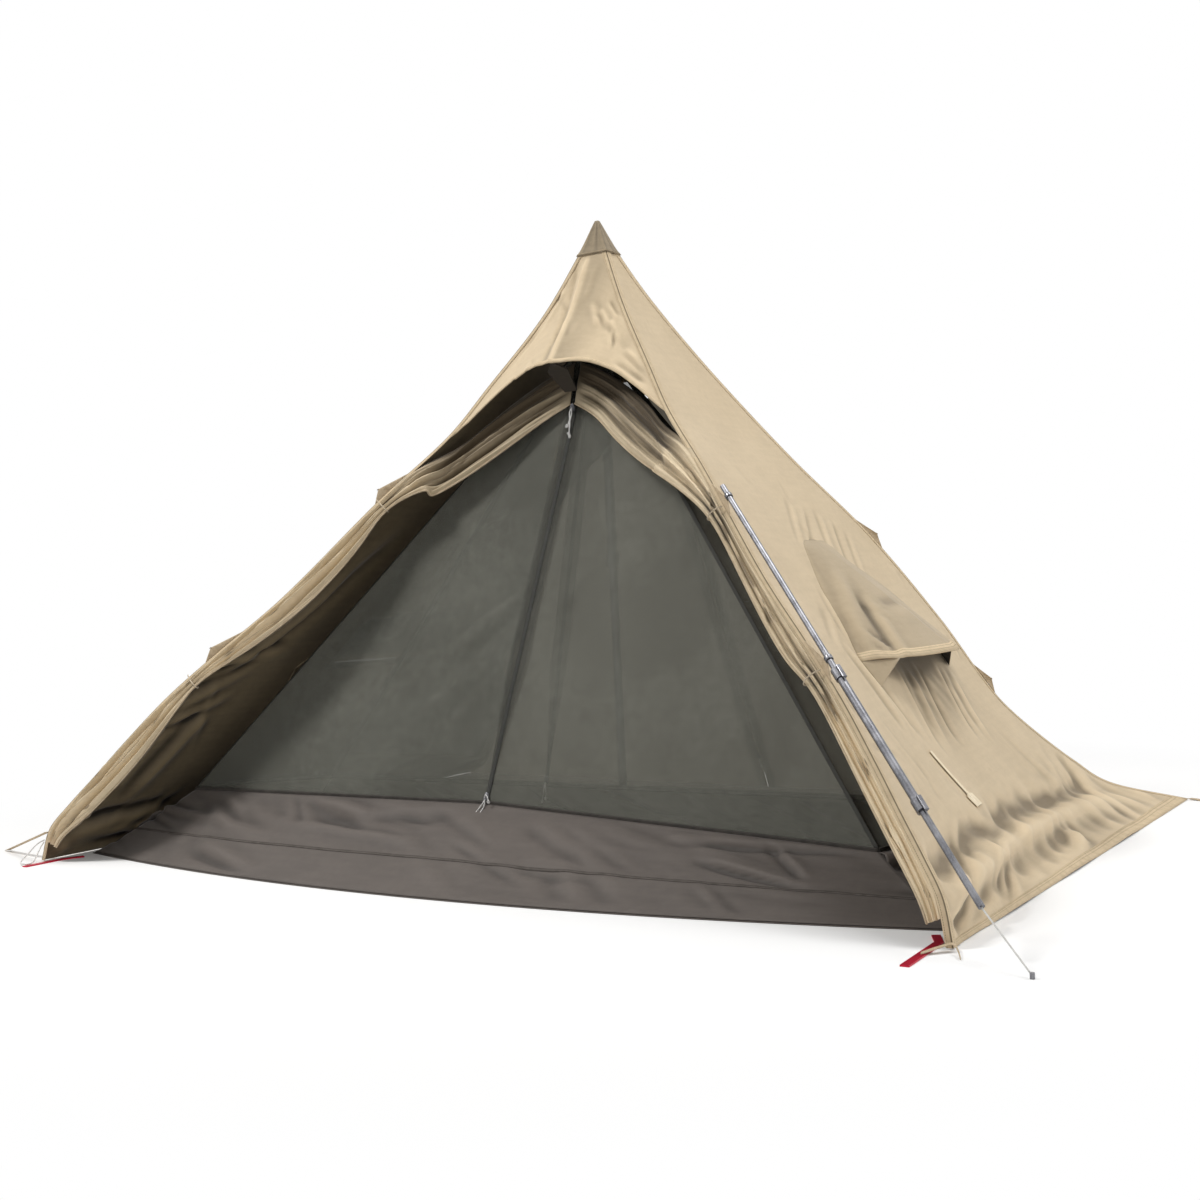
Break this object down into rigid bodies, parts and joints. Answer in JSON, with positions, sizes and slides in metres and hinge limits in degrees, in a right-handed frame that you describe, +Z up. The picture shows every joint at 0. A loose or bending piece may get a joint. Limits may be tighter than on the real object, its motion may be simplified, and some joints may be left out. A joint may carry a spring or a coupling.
{
  "type": "pyramid tent",
  "caption": "Four-sided pyramid tent with tied-back front doors, hooded vents, a half-depth net inner tent with tub floor, a centre pole and a telescopic ridge pole.",
  "frame": {"origin": "centre of the centre pole's foot on the ground, below the peak", "axes": "+Z up, -Y out of the front doorway, +X to the tent's right as it is seen from the front"},
  "size_m": [2.8181, 1.8864, 1.5739],
  "materials": {
    "fly": "coated tan ripstop",
    "door": "coated tan ripstop, gathered",
    "tape": "woven tan tape",
    "net": "fine grey net",
    "tub": "coated taupe floor cloth",
    "pole": "satin",
    "plastic": "moulded",
    "cord": "braided cord",
    "peg": "red anodised"
  },
  "bodies": {
    "tent": {"front_hood": "fly", "rear_hood": "fly", "wall_left": "fly", "wall_right": "fly", "side_hood_left": "fly", "side_hood_right": "fly", "rear_panel_left": "fly", "rear_panel_right": "fly", "door_leaf_left": "door", "door_leaf_right": "door", "apex_cap": "tape", "rear_zip_flap": "tape", "wall_strap_right": "tape", "ridge_tape_front_left": "tape", "ridge_tape_front_right": "tape", "ridge_tape_back_left": "tape", "ridge_tape_back_right": "tape", "corner_strap_front_left": "tape", "corner_strap_front_right": "tape", "corner_strap_back_left": "tape", "corner_strap_back_right": "tape", "vent_net_left": "net", "vent_net_right": "net", "inner_front_left": "net", "inner_front_right": "net", "inner_back_left": "net", "inner_back_right": "net", "inner_side_left": "net", "inner_side_right": "net", "tub_floor": "tub", "tub_wall_front": "tub", "tub_wall_left": "tub", "tub_wall_right": "tub", "tub_wall_back": "tub", "centre_pole_upper": "pole", "ridge_pole_middle": "pole", "guy_peg": "pole", "front_zip_slider": "pole", "inner_hanger": "plastic", "tie_back_upper_left": "cord", "tie_back_upper_right": "cord", "tie_back_lower_left": "cord", "tie_back_lower_right": "cord", "corner_loop_front_left": "cord", "guy_line": "cord", "peg_front_left": "peg", "peg_front_right": "peg"},
    "pole_foot_tube": {"centre_pole_lower": "pole"},
    "ridge_pole_top_tube": {"ridge_pole_upper": "pole"},
    "ridge_pole_end_tube": {"ridge_pole_lower": "pole"},
    "upper_lever": {"lock_lever_upper": "pole"},
    "lower_lever": {"lock_lever_lower": "pole"},
    "net_slider": {"inner_front_slider": "pole"},
    "net_back_slider": {"inner_back_slider": "pole"},
    "rear_slider": {"rear_zip_slider": "pole"},
    "door_pull": {"front_zip_pull": "cord"},
    "front_prop": {"brow_prop_front": "tape"},
    "rear_prop": {"brow_prop_rear": "tape"}
  },
  "joints": [
    {"name": "centre_pole_slide", "type": "slide", "parent": "tent", "child": "pole_foot_tube", "axis": [0, 0, 1], "range_m": [0, 0.6]},
    {"name": "ridge_pole_top_slide", "type": "slide", "parent": "tent", "child": "ridge_pole_top_tube", "axis": [0.6205, -0.4509, -0.6416], "range_m": [0, 0.13]},
    {"name": "ridge_pole_end_slide", "type": "slide", "parent": "tent", "child": "ridge_pole_end_tube", "axis": [-0.6205, 0.4509, 0.6416], "range_m": [0, 0.13]},
    {"name": "upper_lever_hinge", "type": "hinge", "parent": "tent", "child": "upper_lever", "pos_m": [0.92138, -0.66954, 0.46296], "axis": [-0.5879, -0.809, 0], "range_deg": [0, 110]},
    {"name": "lower_lever_hinge", "type": "hinge", "parent": "tent", "child": "lower_lever", "pos_m": [1.12988, -0.82105, 0.24739], "axis": [-0.5879, -0.809, 0], "range_deg": [0, 110]},
    {"name": "net_zip", "type": "slide", "parent": "tent", "child": "net_slider", "axis": [0, 0.4271, 0.9042], "range_m": [0, 0.8]},
    {"name": "net_back_zip", "type": "slide", "parent": "tent", "child": "net_back_slider", "axis": [0.1478, 0.053, 0.9876], "range_m": [0, 0.8]},
    {"name": "rear_zip", "type": "slide", "parent": "tent", "child": "rear_slider", "axis": [0, -0.4425, 0.8967], "range_m": [0, 0.7]},
    {"name": "door_pull_hinge", "type": "hinge", "parent": "tent", "child": "door_pull", "pos_m": [0, -0.15849, 1.07949], "axis": [-1, 0, 0], "range_deg": [0, 60]},
    {"name": "front_prop_hinge", "type": "hinge", "parent": "tent", "child": "front_prop", "pos_m": [0, -0.22594, 1.17989], "axis": [1, 0, 0], "range_deg": [0, 75]},
    {"name": "rear_prop_hinge", "type": "hinge", "parent": "tent", "child": "rear_prop", "pos_m": [0, 0.21174, 1.17989], "axis": [-1, 0, 0], "range_deg": [0, 75]}
  ]
}
